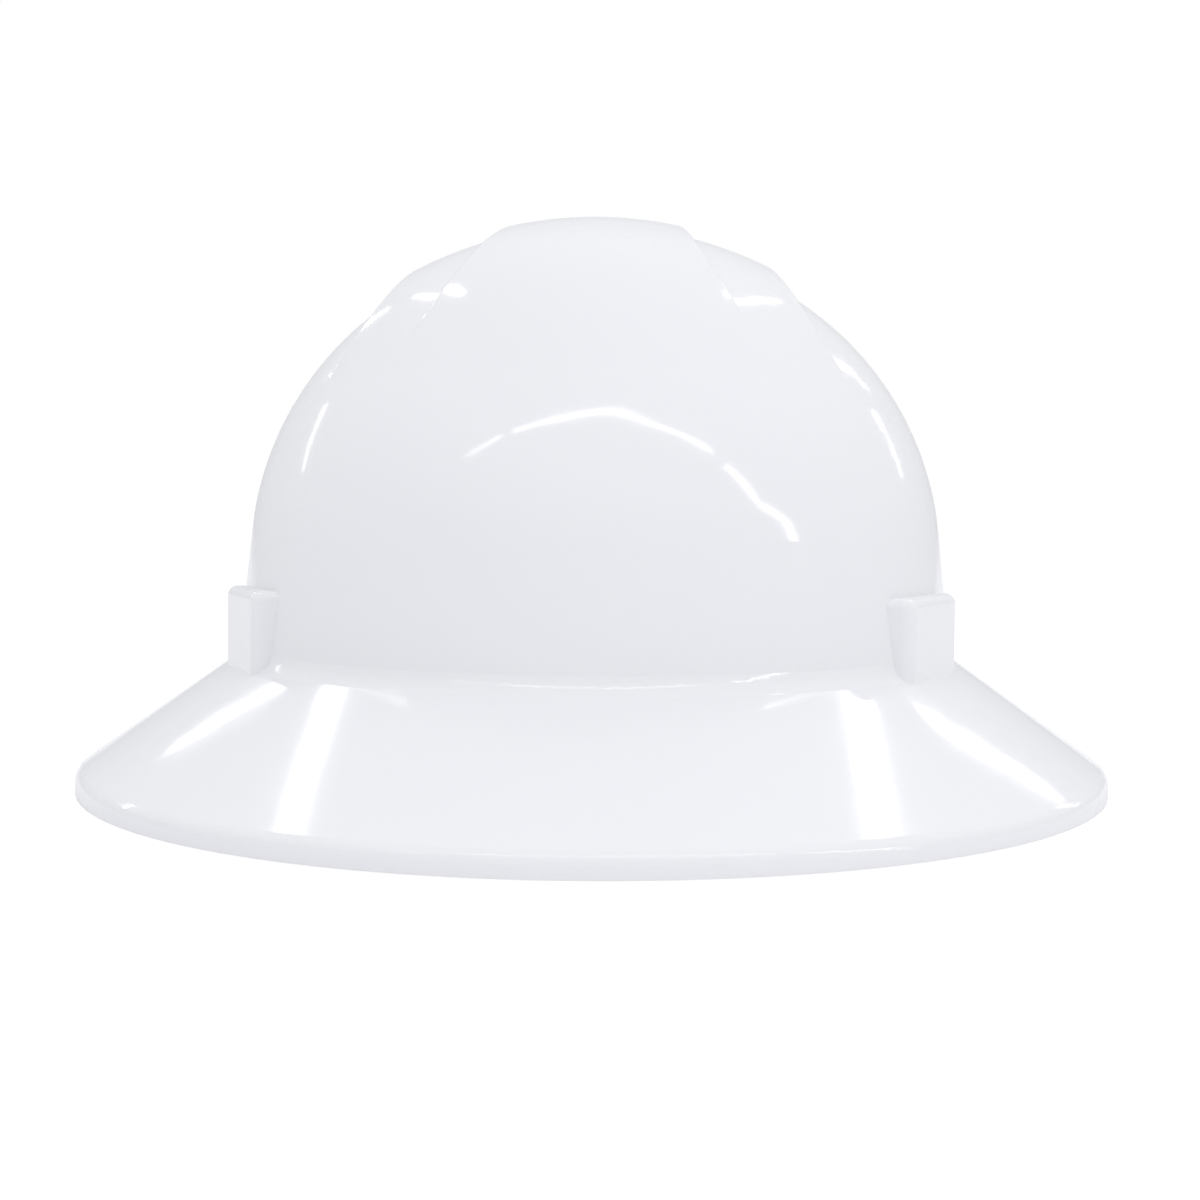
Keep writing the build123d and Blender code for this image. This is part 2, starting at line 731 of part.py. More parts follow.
with BuildPart() as housing:
    with BuildSketch(Plane.XY.offset(house_foot)):
        add(sector(plate_radius, channel_outer, first, last))
    extrude(amount=house_height)
    round_corners(housing, house_corner, plate_thickness + channel_depth)
    with BuildSketch(Plane.XY.offset(strap_level - channel_height / 2)):
        reach = channel_outer + overrun
        add(sector(channel_inner, reach, first - channel_end_angle, last + channel_end_angle))
    extrude(amount=channel_height, mode=Mode.SUBTRACT)
    add(screw_bores(screw_radius + screw_hole_gap, screw_tip_radius), mode=Mode.SUBTRACT)
    with BuildSketch(knob_axis.offset(ring_centre_y + plate_radius - overrun)):
        Circle(stub_radius + running_gap)
    extrude(amount=plate_thickness + 2 * overrun, mode=Mode.SUBTRACT)
out("ratchet_housing", housing.part)

with BuildPart() as cover:
    with BuildSketch(Plane.XY.offset(house_foot)):
        add(sector(cover_inner, cover_outer, first, last))
    extrude(amount=house_height)
    round_corners(cover, house_corner, cover_thickness)
    with BuildSketch(knob_axis.offset(ring_centre_y + cover_inner - overrun)):
        Circle(boss_radius)
    extrude(amount=boss_front_y - ring_centre_y - cover_inner + overrun)
    with BuildSketch(knob_axis.offset(boss_front_y)):
        Circle(detent_outer)
        Circle(detent_inner, mode=Mode.SUBTRACT)
        with PolarLocations(detent_inner, detent_count):
            Circle(detent_depth, mode=Mode.SUBTRACT)
    extrude(amount=detent_front_y - boss_front_y)
    with BuildSketch(Plane.XY.offset(house_foot)):
        with Locations((0, ring_centre_y)):
            Circle(cover_inner)
    extrude(amount=house_height, mode=Mode.SUBTRACT)
    with BuildSketch(knob_axis.offset(ring_centre_y + cover_inner - overrun)):
        Circle(journal_radius + running_gap)
    extrude(amount=boss_front_y, mode=Mode.SUBTRACT)
    add(screw_bores(screw_radius + screw_hole_gap, cover_inner - overrun), mode=Mode.SUBTRACT)
out("ratchet_cover", cover.part)

with BuildPart() as screws:
    for turn_angle in (-screw_angle, screw_angle):
        a = radians(90.0 + turn_angle)
        for side in (-1, 1):
            head = cover_outer + screw_hole_gap
            origin = (head * cos(a), ring_centre_y + head * sin(a), strap_level + side * screw_level)
            frame = Plane(origin=origin, x_dir=(0, 0, 1), z_dir=(cos(a), sin(a), 0))
            with BuildSketch(frame):
                Circle(screw_head_radius)
            extrude(amount=screw_head_height)
            with BuildSketch(frame.offset(screw_head_height / 2)):
                Rectangle(screw_slot, screw_slot_length)
                Rectangle(screw_slot_length, screw_slot)
            extrude(amount=screw_head_height, mode=Mode.SUBTRACT)
            with BuildSketch(frame):
                Circle(screw_radius)
            extrude(amount=screw_tip_radius + screw_hole_gap - head)
out("cover_screws", screws.part)

# Pinion: ten teeth in both slots, a stub in the housing, a journal in the cover, a square for the knob
channel_near_y = ring_centre_y + channel_inner + running_gap
channel_far_y = ring_centre_y + cover_inner - tooth_end_gap
square_end_y = knob_front_y - knob_face
with BuildPart() as pinion:
    with BuildSketch(knob_axis.offset(channel_near_y)):
        root = pinion_pitch_radius - dedendum
        Circle(root)
        half = tooth_share * pitch / 2
        tip = pinion_pitch_radius + addendum
        base = half + dedendum * flank
        land = half - addendum * flank
        inside = root - addendum
        flank_up = ((inside, base), (root, base), (tip, land))
        flank_down = ((tip, -land), (root, -base), (inside, -base))
        with PolarLocations(0, pinion_teeth, start_angle=first_tooth_angle):
            Polygon(*flank_up, *flank_down, align=None)
    extrude(amount=channel_far_y - channel_near_y)
    with BuildSketch(knob_axis.offset(ring_centre_y + plate_radius + running_gap)):
        Circle(stub_radius)
    extrude(amount=channel_near_y - ring_centre_y - plate_radius)
    with BuildSketch(knob_axis.offset(channel_far_y)):
        Circle(journal_radius)
    extrude(amount=boss_front_y - channel_far_y)
    with BuildSketch(knob_axis.offset(boss_front_y)):
        Rectangle(drive_square, drive_square)
    extrude(amount=square_end_y - boss_front_y)
    with BuildSketch(knob_axis.offset(knob_screw_tip_y - running_gap)):
        Circle(knob_screw_radius + screw_hole_gap)
    extrude(amount=square_end_y, mode=Mode.SUBTRACT)
out("drive_pinion", pinion.part)

with BuildPart() as knob:
    with BuildSketch(knob_axis.offset(knob_back_y)):
        Circle(knob_radius)
        with PolarLocations(knob_radius * grip_distance_share, knob_grips):
            Circle(grip_radius, mode=Mode.SUBTRACT)
    extrude(amount=knob_front_y - knob_back_y)
    chamfer(knob.faces().sort_by(Axis.Y)[-1].edges(), knob_edge_chamfer)
    with BuildSketch(knob_axis.offset(knob_back_y - overrun)):
        Circle(knob_bore_radius)
        Circle(knob_hub_radius, mode=Mode.SUBTRACT)
    extrude(amount=square_end_y - knob_back_y + overrun, mode=Mode.SUBTRACT)
    with BuildSketch(knob_axis.offset(knob_back_y - overrun)):
        Rectangle(drive_square + 2 * square_gap, drive_square + 2 * square_gap)
    extrude(amount=square_end_y - knob_back_y + overrun, mode=Mode.SUBTRACT)
    with BuildSketch(knob_axis.offset(square_end_y - overrun)):
        Circle(knob_screw_radius + screw_hole_gap)
    extrude(amount=knob_face + 2 * overrun, mode=Mode.SUBTRACT)
    with BuildSketch(knob_axis.offset(knob_front_y - knob_screw_head_height)):
        Circle(knob_screw_head + running_gap)
    extrude(amount=knob_screw_head_height + overrun, mode=Mode.SUBTRACT)
out("ratchet_knob", knob.part)

with BuildPart() as knob_screw:
    with BuildSketch(knob_axis.offset(knob_screw_tip_y)):
        Circle(knob_screw_radius)
    extrude(amount=knob_front_y - knob_screw_head_height - knob_screw_tip_y)
    with BuildSketch(knob_axis.offset(knob_front_y - knob_screw_head_height)):
        Circle(knob_screw_head)
    extrude(amount=knob_screw_head_height)
    with BuildSketch(knob_axis.offset(knob_front_y - knob_screw_head_height / 2)):
        Rectangle(screw_slot, knob_screw_slot_length)
        Rectangle(knob_screw_slot_length, screw_slot)
    extrude(amount=knob_screw_head_height, mode=Mode.SUBTRACT)
out("knob_screw", knob_screw.part)

# Detent spring: a ring on the knob's hub with two springy arms whose tips end just inside the cover's notches
with BuildPart() as spring:
    with BuildSketch(knob_axis.offset(spring_near_y)):
        Circle(spring_ring_outer)
        arm_level = spring_ring_outer - spring_arm / 2
        tip_distance = detent_inner - 2 * running_gap - detent_depth - spring_arm / 2
        arm_reach = sqrt(tip_distance**2 - arm_level**2)
        for end in (-1, 1):
            with Locations((end * arm_reach / 2, end * arm_level)):
                Rectangle(arm_reach, spring_arm)
            with Locations((end * arm_reach, end * arm_level)):
                Circle(spring_arm / 2)
        Circle(knob_hub_radius + running_gap, mode=Mode.SUBTRACT)
    extrude(amount=spring_thickness)
out("detent_spring", spring.part)

with BuildPart() as nape_pad:
    with BuildSketch(Plane.XY.offset(strap_level - pad_height / 2)):
        pad_outer = plate_radius - pad_gap
        add(sector(pad_outer - pad_thickness, pad_outer, 90.0 - pad_angle, 90.0 + pad_angle))
    extrude(amount=pad_height)
    round_corners(nape_pad, house_corner, pad_thickness)
out("nape_pad", nape_pad.part)
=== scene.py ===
"""Full brim hard hat: finishes, sewn and padded pieces, and a white studio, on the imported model.

Metres, +Z up. The front of the hat looks toward -Y, the wearer's left is toward +X, and the brim's
edge stands on z = 0.
"""

from math import asin, atan2, copysign, cos, hypot, pi, radians, sin, sqrt

import bmesh
import bpy
from mathutils import Matrix, Quaternion, Vector


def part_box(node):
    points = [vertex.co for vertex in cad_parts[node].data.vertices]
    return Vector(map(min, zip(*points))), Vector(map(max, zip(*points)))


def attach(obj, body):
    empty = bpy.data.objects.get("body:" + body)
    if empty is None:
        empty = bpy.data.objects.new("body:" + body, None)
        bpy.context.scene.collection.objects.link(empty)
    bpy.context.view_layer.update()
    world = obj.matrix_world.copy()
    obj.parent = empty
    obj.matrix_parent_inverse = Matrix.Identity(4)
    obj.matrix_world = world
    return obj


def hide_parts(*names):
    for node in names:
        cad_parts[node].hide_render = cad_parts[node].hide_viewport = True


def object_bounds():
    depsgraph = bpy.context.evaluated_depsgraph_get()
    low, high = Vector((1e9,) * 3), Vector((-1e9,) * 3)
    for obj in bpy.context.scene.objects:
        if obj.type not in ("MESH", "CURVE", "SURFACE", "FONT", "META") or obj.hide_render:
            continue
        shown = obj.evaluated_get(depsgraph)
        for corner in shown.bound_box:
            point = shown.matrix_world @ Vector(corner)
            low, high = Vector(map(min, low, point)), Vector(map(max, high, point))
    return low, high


bl_info = {
    "name": "Full Brim Hard Hat",
    "version": (1, 0, 0),
    "blender": (4, 5, 0),
    "location": "3D View > Sidebar > Hard Hat",
    "description": "Dresses a packed full brim hard hat and sets up its studio",
    "category": "Object",
}

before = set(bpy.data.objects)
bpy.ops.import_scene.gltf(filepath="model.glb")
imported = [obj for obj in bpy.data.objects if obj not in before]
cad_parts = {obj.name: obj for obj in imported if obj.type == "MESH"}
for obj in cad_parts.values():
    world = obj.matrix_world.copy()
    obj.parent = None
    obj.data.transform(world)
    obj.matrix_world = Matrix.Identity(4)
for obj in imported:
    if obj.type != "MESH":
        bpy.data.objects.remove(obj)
CAD_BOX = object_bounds()
MM = 0.001
# The middle of the head, round which the band, the sweatband and the nape piece curve
HEAD_CENTRE_Y = 2.0 * MM
WHITE = (1.0, 1.0, 1.0, 1.0)


# Helpers for nodes and colours

# A Mix node's colour sockets share their names with its number sockets, so they go by their places
MIX_FACTOR, MIX_A, MIX_B, MIX_RESULT = 0, 6, 7, 2


def linear(code):
    """An sRGB hex colour as linear numbers."""
    channels = [int(code[i : i + 2], 16) / 255 for i in (0, 2, 4)]
    return tuple(c / 12.92 if c <= 0.04045 else ((c + 0.055) / 1.055) ** 2.4 for c in channels)


def rgba(colour):
    """A colour with full opacity, for a node's socket."""
    return (*colour[:3], 1.0)


def shade(colour, share):
    """The same colour, darker or lighter by a share."""
    return tuple(min(1.0, c * share) for c in colour[:3])


def per_metre(period_mm):
    """A texture's scale for a pattern that repeats at this many millimetres."""
    return 1.0 / (period_mm * MM)


def add_node(tree, kind, sockets=None, **settings):
    """One node, with its settings, its sockets' values and the links that reach it."""
    node = tree.nodes.new(kind)
    for name, value in settings.items():
        setattr(node, name, value)
    for name, value in (sockets or {}).items():
        if isinstance(value, bpy.types.NodeSocket):
            tree.links.new(value, node.inputs[name])
        else:
            node.inputs[name].default_value = value
    return node


def new_material(name):
    """An empty node material and its tree."""
    material = bpy.data.materials.new(name)
    material.use_nodes = True
    material.node_tree.nodes.clear()
    return material, material.node_tree


# Helpers for pieces


def dress(nodes, material):
    """Gives CAD nodes a material."""
    for name in nodes:
        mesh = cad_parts[name].data
        mesh.materials.clear()
        mesh.materials.append(material)


def new_piece(name, bm, material, body):
    """A finished bmesh as an object at the origin, riding on a body of the frame."""
    bmesh.ops.recalc_face_normals(bm, faces=bm.faces)
    mesh = bpy.data.meshes.new(name)
    bm.to_mesh(mesh)
    bm.free()
    mesh.materials.append(material)
    mesh.polygons.foreach_set("use_smooth", [True] * len(mesh.polygons))
    piece = bpy.data.objects.new(name, mesh)
    bpy.context.scene.collection.objects.link(piece)
    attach(piece, body)
    return piece


def add_stitch(bm, start, end, outward, thread):
    """One sewn stitch: a short thread that dips into the cloth at both ends."""
    along = end - start
    made = bmesh.ops.create_icosphere(bm, subdivisions=1, radius=1.0)["verts"]
    bmesh.ops.scale(bm, vec=(along.length / 2 + thread, thread, thread), verts=made)
    side = outward.cross(along).normalized()
    turn = Matrix((along.normalized(), side, outward.normalized())).transposed()
    bmesh.ops.rotate(bm, cent=(0, 0, 0), matrix=turn, verts=made)
    bmesh.ops.translate(bm, vec=(start + end) / 2, verts=made)


def sew(bm, path, outward, stitch, gap, thread):
    """A row of stitches along a path of points, with the same gap between them."""
    lengths = [(b - a).length for a, b in zip(path, path[1:])]
    total = sum(lengths)
    count = max(1, round(total / (stitch + gap)))
    pitch = total / count

    def at(distance):
        for a, b, length in zip(path, path[1:], lengths):
            if distance <= length:
                return a.lerp(b, distance / length)
            distance -= length
        return path[-1]

    for k in range(count):
        start = at(k * pitch + gap / 2)
        end = at((k + 1) * pitch - gap / 2)
        add_stitch(bm, start, end, outward((start + end) / 2), thread)


# What a user would change


class ShellFinish(bpy.types.PropertyGroup):
    """The shell's colour and gloss"""

    colour: bpy.props.FloatVectorProperty(
        name="Shell Colour",
        description="Colour of the moulded shell",
        subtype="COLOR",
        min=0.0,
        max=1.0,
        default=linear("F1F1F3"),
    )
    gloss_roughness: bpy.props.FloatProperty(
        name="Gloss Roughness",
        description="Roughness of the polished outer skin",
        subtype="FACTOR",
        min=0.0,
        max=1.0,
        default=0.09,
    )
    peel_period: bpy.props.FloatProperty(
        name="Ripple Period",
        description="Width of the faint ripples that the polished mould leaves, in millimetres",
        min=0.5,
        default=7.0,
    )


class SuspensionFinish(bpy.types.PropertyGroup):
    """The colours and the sewing of what hangs in the shell"""

    plastic_colour: bpy.props.FloatVectorProperty(
        name="Plastic Colour",
        description="Colour of the keys, headband and rack straps",
        subtype="COLOR",
        min=0.0,
        max=1.0,
        default=linear("DCDDDD"),
    )
    webbing_colour: bpy.props.FloatVectorProperty(
        name="Webbing Colour",
        description="Colour of the woven crown straps",
        subtype="COLOR",
        min=0.0,
        max=1.0,
        default=linear("D6D8DA"),
    )
    cloth_colour: bpy.props.FloatVectorProperty(
        name="Pad Cloth Colour",
        description="Colour of the sweatband and the nape pad",
        subtype="COLOR",
        min=0.0,
        max=1.0,
        default=linear("3B3E44"),
    )
    knob_colour: bpy.props.FloatVectorProperty(
        name="Ratchet Colour",
        description="Colour of the ratchet's housing, cover and knob",
        subtype="COLOR",
        min=0.0,
        max=1.0,
        default=linear("2A2B2E"),
    )
    thread: bpy.props.FloatProperty(
        name="Thread Radius",
        description="Radius of the sewing thread",
        subtype="DISTANCE",
        unit="LENGTH",
        min=0.0,
        default=0.34 * MM,
    )
    channel_spacing: bpy.props.FloatProperty(
        name="Channel Spacing",
        description="Distance between the sweatband's sewn channels",
        subtype="DISTANCE",
        unit="LENGTH",
        min=0.004,
        default=13.0 * MM,
    )


class StudioSetup(bpy.types.PropertyGroup):
    """The camera, the room's light and the floor"""

    camera_turn: bpy.props.FloatProperty(
        name="Camera Turn",
        description="How far the camera stands round toward the wearer's left from straight ahead",
        subtype="ANGLE",
        unit="ROTATION",
        default=radians(3.0),
    )
    camera_pitch: bpy.props.FloatProperty(
        name="Camera Pitch",
        description="How far the camera looks down",
        subtype="ANGLE",
        unit="ROTATION",
        default=radians(2.93),
    )
    camera_roll: bpy.props.FloatProperty(
        name="Camera Roll",
        description="How far the picture is turned",
        subtype="ANGLE",
        unit="ROTATION",
        default=radians(0.5),
    )
    camera_distance: bpy.props.FloatProperty(
        name="Camera Distance",
        description="Distance from the camera to the hat's middle",
        subtype="DISTANCE",
        unit="LENGTH",
        default=0.636,
    )
    focal_length: bpy.props.FloatProperty(
        name="Focal Length",
        description="Focal length of the lens in millimetres",
        subtype="DISTANCE_CAMERA",
        default=62.8,
    )
    ceiling_light: bpy.props.FloatProperty(
        name="Ceiling Light",
        description="Strength of the pale room overhead",
        min=0.0,
        default=1.0,
    )
    wall_light: bpy.props.FloatProperty(
        name="Wall Light",
        description="Strength of the pale room at eye level and below",
        min=0.0,
        default=0.72,
    )
    backdrop_colour: bpy.props.FloatVectorProperty(
        name="Backdrop Colour",
        description="Colour of the floor",
        subtype="COLOR",
        min=0.0,
        max=1.0,
        default=linear("F4F4F5"),
    )


# Materials


def glossy_abs(finish):
    """ABS moulded in a polished tool: bright and glossy, its highlights bent by a faint ripple."""
    material, tree = new_material("glossy_moulded_abs")
    place = add_node(tree, "ShaderNodeTexCoord").outputs["Object"]
    drift = add_node(tree, "ShaderNodeTexNoise", {"Vector": place, "Scale": per_metre(90.0)})
    mottle = add_node(
        tree,
        "ShaderNodeMix",
        {
            MIX_FACTOR: drift.outputs["Fac"],
            MIX_A: rgba(finish.colour),
            MIX_B: rgba(shade(finish.colour, 0.985)),
        },
        data_type="RGBA",
    )
    haze = add_node(
        tree,
        "ShaderNodeTexNoise",
        {"Vector": place, "Scale": per_metre(24.0), "Detail": 5.0, "Roughness": 0.65},
    )
    polish = add_node(
        tree,
        "ShaderNodeMapRange",
        {
            "Value": haze.outputs["Fac"],
            "To Min": finish.gloss_roughness * 0.6,
            "To Max": finish.gloss_roughness * 1.5,
        },
    )
    waves = add_node(
        tree,
        "ShaderNodeTexNoise",
        {"Vector": place, "Scale": per_metre(finish.peel_period), "Detail": 1.0},
    )
    ripple = add_node(
        tree, "ShaderNodeBump", {"Height": waves.outputs["Fac"], "Distance": 0.012 * MM}
    )
    scuffs = add_node(
        tree,
        "ShaderNodeTexVoronoi",
        {"Vector": place, "Scale": per_metre(9.0)},
        feature="DISTANCE_TO_EDGE",
    )
    skin = add_node(
        tree,
        "ShaderNodeBump",
        {
            "Height": scuffs.outputs["Distance"],
            "Distance": 0.004 * MM,
            "Normal": ripple.outputs["Normal"],
        },
    )
    surface = add_node(
        tree,
        "ShaderNodeBsdfPrincipled",
        {
            "Base Color": mottle.outputs[MIX_RESULT],
            "Roughness": polish.outputs["Result"],
            "IOR": 1.53,
            "Normal": skin.outputs["Normal"],
        },
    )
    add_node(tree, "ShaderNodeOutputMaterial", {"Surface": surface.outputs["BSDF"]})
    return material


def satin_nylon(name, colour, roughness, pebble_mm):
    """Nylon moulded in a spark eroded tool: an even satin with a fine pebbled skin."""
    material, tree = new_material(name)
    place = add_node(tree, "ShaderNodeTexCoord").outputs["Object"]
    wear = add_node(
        tree,
        "ShaderNodeTexNoise",
        {"Vector": place, "Scale": per_metre(14.0), "Detail": 6.0, "Roughness": 0.6},
    )
    tint = add_node(
        tree,
        "ShaderNodeMix",
        {MIX_FACTOR: wear.outputs["Fac"], MIX_A: rgba(colour), MIX_B: rgba(shade(colour, 1.12))},
        data_type="RGBA",
    )
    satin = add_node(
        tree,
        "ShaderNodeMapRange",
        {"Value": wear.outputs["Fac"], "To Min": roughness - 0.06, "To Max": roughness + 0.1},
    )
    pebbles = add_node(
        tree, "ShaderNodeTexVoronoi", {"Vector": place, "Scale": per_metre(pebble_mm)}
    )
    skin = add_node(
        tree,
        "ShaderNodeBump",
        {"Height": pebbles.outputs["Distance"], "Distance": 0.05 * MM, "Strength": 0.6},
    )
    surface = add_node(
        tree,
        "ShaderNodeBsdfPrincipled",
        {
            "Base Color": tint.outputs[MIX_RESULT],
            "Roughness": satin.outputs["Result"],
            "IOR": 1.53,
            "Normal": skin.outputs["Normal"],
        },
    )
    add_node(tree, "ShaderNodeOutputMaterial", {"Surface": surface.outputs["BSDF"]})
    return material


def soft_polyethylene(colour):
    """Low density polyethylene: waxy, see-through at thin edges, with flow lines along the band."""
    material, tree = new_material("satin_polyethylene")
    place = add_node(tree, "ShaderNodeTexCoord").outputs["Object"]
    stretched = add_node(tree, "ShaderNodeMapping", {"Vector": place, "Scale": (0.12, 0.12, 1.0)})
    flow = add_node(
        tree,
        "ShaderNodeTexNoise",
        {"Vector": stretched.outputs["Vector"], "Scale": per_metre(2.4), "Detail": 3.0},
    ).outputs["Fac"]
    tint = add_node(
        tree,
        "ShaderNodeMix",
        {MIX_FACTOR: flow, MIX_A: rgba(colour), MIX_B: rgba(shade(colour, 0.96))},
        data_type="RGBA",
    )
    wax = add_node(tree, "ShaderNodeMapRange", {"Value": flow, "To Min": 0.32, "To Max": 0.46})
    lines = add_node(tree, "ShaderNodeBump", {"Height": flow, "Distance": 0.03 * MM})
    surface = add_node(
        tree,
        "ShaderNodeBsdfPrincipled",
        {
            "Base Color": tint.outputs[MIX_RESULT],
            "Roughness": wax.outputs["Result"],
            "IOR": 1.51,
            "Subsurface Weight": 0.12,
            "Subsurface Radius": (0.004, 0.004, 0.003),
            "Normal": lines.outputs["Normal"],
        },
    )
    add_node(tree, "ShaderNodeOutputMaterial", {"Surface": surface.outputs["BSDF"]})
    return material


def woven_webbing(name, colour, angle, reach, rise, low):
    """Plain woven nylon webbing: two millimetre floats, rounded by their yarns, softly shining."""
    material, tree = new_material(f"woven_nylon_webbing_{name}")
    place = add_node(tree, "ShaderNodeTexCoord").outputs["Object"]
    # The weave follows the strap's arch: the angle round the arch gives the run along the strap
    turned = add_node(
        tree,
        "ShaderNodeMapping",
        {"Vector": place, "Location": (0, 0, -low), "Rotation": (0, 0, -angle)},
    )
    parts = add_node(tree, "ShaderNodeSeparateXYZ", {"Vector": turned.outputs["Vector"]}).outputs
    up = add_node(tree, "ShaderNodeMath", {0: parts["Z"], 1: rise}, operation="DIVIDE")
    across = add_node(tree, "ShaderNodeMath", {0: parts["X"], 1: reach}, operation="DIVIDE")
    swing = add_node(
        tree, "ShaderNodeMath", {0: up.outputs[0], 1: across.outputs[0]}, operation="ARCTAN2"
    )
    run = add_node(
        tree, "ShaderNodeMath", {0: swing.outputs[0], 1: (reach + rise) / 2}, operation="MULTIPLY"
    )
    cloth = add_node(
        tree, "ShaderNodeCombineXYZ", {"X": run.outputs[0], "Y": parts["Y"], "Z": 0.0}
    ).outputs["Vector"]
    # The colour darkens at each float's rounded edges and into the gaps between floats: painted
    # shade in the weave's recesses
    weave = add_node(
        tree,
        "ShaderNodeTexBrick",
        {
            "Vector": cloth,
            "Scale": per_metre(1.0),
            "Brick Width": 2.0,
            "Row Height": 1.1,
            "Mortar Size": 0.32,
            "Mortar Smooth": 1.0,
            "Color1": rgba(colour),
            "Color2": rgba(shade(colour, 0.93)),
            "Mortar": rgba(shade(colour, 0.62)),
        },
        offset=0.5,
    )
    yarns = add_node(
        tree, "ShaderNodeBump", {"Height": weave.outputs["Fac"], "Distance": -0.28 * MM}
    )
    fibres = add_node(tree, "ShaderNodeTexNoise", {"Vector": cloth, "Scale": per_metre(0.35)})
    fuzz = add_node(
        tree,
        "ShaderNodeBump",
        {
            "Height": fibres.outputs["Fac"],
            "Distance": 0.06 * MM,
            "Normal": yarns.outputs["Normal"],
        },
    )
    surface = add_node(
        tree,
        "ShaderNodeBsdfPrincipled",
        {
            "Base Color": weave.outputs["Color"],
            "Roughness": 0.78,
            "Sheen Weight": 0.35,
            "Sheen Roughness": 0.4,
            "Normal": fuzz.outputs["Normal"],
        },
    )
    add_node(tree, "ShaderNodeOutputMaterial", {"Surface": surface.outputs["BSDF"]})
    return material


def terry_cloth(colour):
    """Terry cloth over foam: millimetre loops with a painted highlight on their tips and painted
    shade between them, and a dull body.
    """
    material, tree = new_material("terry_cloth")
    place = add_node(tree, "ShaderNodeTexCoord").outputs["Object"]
    loops = add_node(tree, "ShaderNodeTexVoronoi", {"Vector": place, "Scale": per_metre(1.3)})
    tips = add_node(
        tree,
        "ShaderNodeMapRange",
        {"Value": loops.outputs["Distance"], "To Min": 1.0, "To Max": 0.0},
    ).outputs["Result"]
    # Painted light: the colour goes from painted shade low between the loops to a painted highlight
    # on their tips
    tint = add_node(
        tree,
        "ShaderNodeMix",
        {MIX_FACTOR: tips, MIX_A: rgba(shade(colour, 0.6)), MIX_B: rgba(shade(colour, 1.35))},
        data_type="RGBA",
    )
    drift = add_node(
        tree, "ShaderNodeTexNoise", {"Vector": place, "Scale": per_metre(18.0), "Detail": 3.0}
    )
    dull = add_node(
        tree,
        "ShaderNodeMapRange",
        {"Value": drift.outputs["Fac"], "To Min": 0.88, "To Max": 0.98},
    )
    pile = add_node(tree, "ShaderNodeBump", {"Height": tips, "Distance": 0.45 * MM})
    surface = add_node(
        tree,
        "ShaderNodeBsdfPrincipled",
        {
            "Base Color": tint.outputs[MIX_RESULT],
            "Roughness": dull.outputs["Result"],
            "Sheen Weight": 0.5,
            "Sheen Roughness": 0.5,
            "Normal": pile.outputs["Normal"],
        },
    )
    add_node(tree, "ShaderNodeOutputMaterial", {"Surface": surface.outputs["BSDF"]})
    return material


def knitted_cloth(colour):
    """A knitted face over foam: small offset stitches in rows, with painted shade in the gaps
    between them.
    """
    material, tree = new_material("knitted_cloth")
    place = add_node(tree, "ShaderNodeTexCoord").outputs["Object"]
    parts = add_node(tree, "ShaderNodeSeparateXYZ", {"Vector": place}).outputs
    flat = add_node(tree, "ShaderNodeCombineXYZ", {"X": parts["X"], "Y": parts["Z"], "Z": 0.0})
    # The colour darkens into the gaps between stitches: painted shade where the bump sinks them
    knit = add_node(
        tree,
        "ShaderNodeTexBrick",
        {
            "Vector": flat.outputs["Vector"],
            "Scale": per_metre(1.0),
            "Brick Width": 1.5,
            "Row Height": 1.0,
            "Mortar Size": 0.3,
            "Mortar Smooth": 1.0,
            "Color1": rgba(shade(colour, 1.2)),
            "Color2": rgba(shade(colour, 1.05)),
            "Mortar": rgba(shade(colour, 0.55)),
        },
        offset=0.5,
    )
    rows = add_node(tree, "ShaderNodeBump", {"Height": knit.outputs["Fac"], "Distance": -0.3 * MM})
    surface = add_node(
        tree,
        "ShaderNodeBsdfPrincipled",
        {
            "Base Color": knit.outputs["Color"],
            "Roughness": 0.9,
            "Sheen Weight": 0.4,
            "Sheen Roughness": 0.5,
            "Normal": rows.outputs["Normal"],
        },
    )
    add_node(tree, "ShaderNodeOutputMaterial", {"Surface": surface.outputs["BSDF"]})
    return material


def polyester_thread(name, colour):
    """Twisted polyester sewing thread: a fine diagonal twist and a low sheen."""
    material, tree = new_material(name)
    place = add_node(tree, "ShaderNodeTexCoord").outputs["Object"]
    twist = add_node(
        tree,
        "ShaderNodeTexWave",
        {"Vector": place, "Scale": per_metre(3.0), "Distortion": 1.0},
        bands_direction="DIAGONAL",
    ).outputs["Fac"]
    # Painted shade: the thread's colour darkens in the grooves of its twist, where the bump sinks
    # it
    tint = add_node(
        tree,
        "ShaderNodeMix",
        {MIX_FACTOR: twist, MIX_A: rgba(shade(colour, 0.85)), MIX_B: rgba(colour)},
        data_type="RGBA",
    )
    strands = add_node(tree, "ShaderNodeBump", {"Height": twist, "Distance": 0.05 * MM})
    surface = add_node(
        tree,
        "ShaderNodeBsdfPrincipled",
        {
            "Base Color": tint.outputs[MIX_RESULT],
            "Roughness": 0.6,
            "Sheen Weight": 0.3,
            "Normal": strands.outputs["Normal"],
        },
    )
    add_node(tree, "ShaderNodeOutputMaterial", {"Surface": surface.outputs["BSDF"]})
    return material


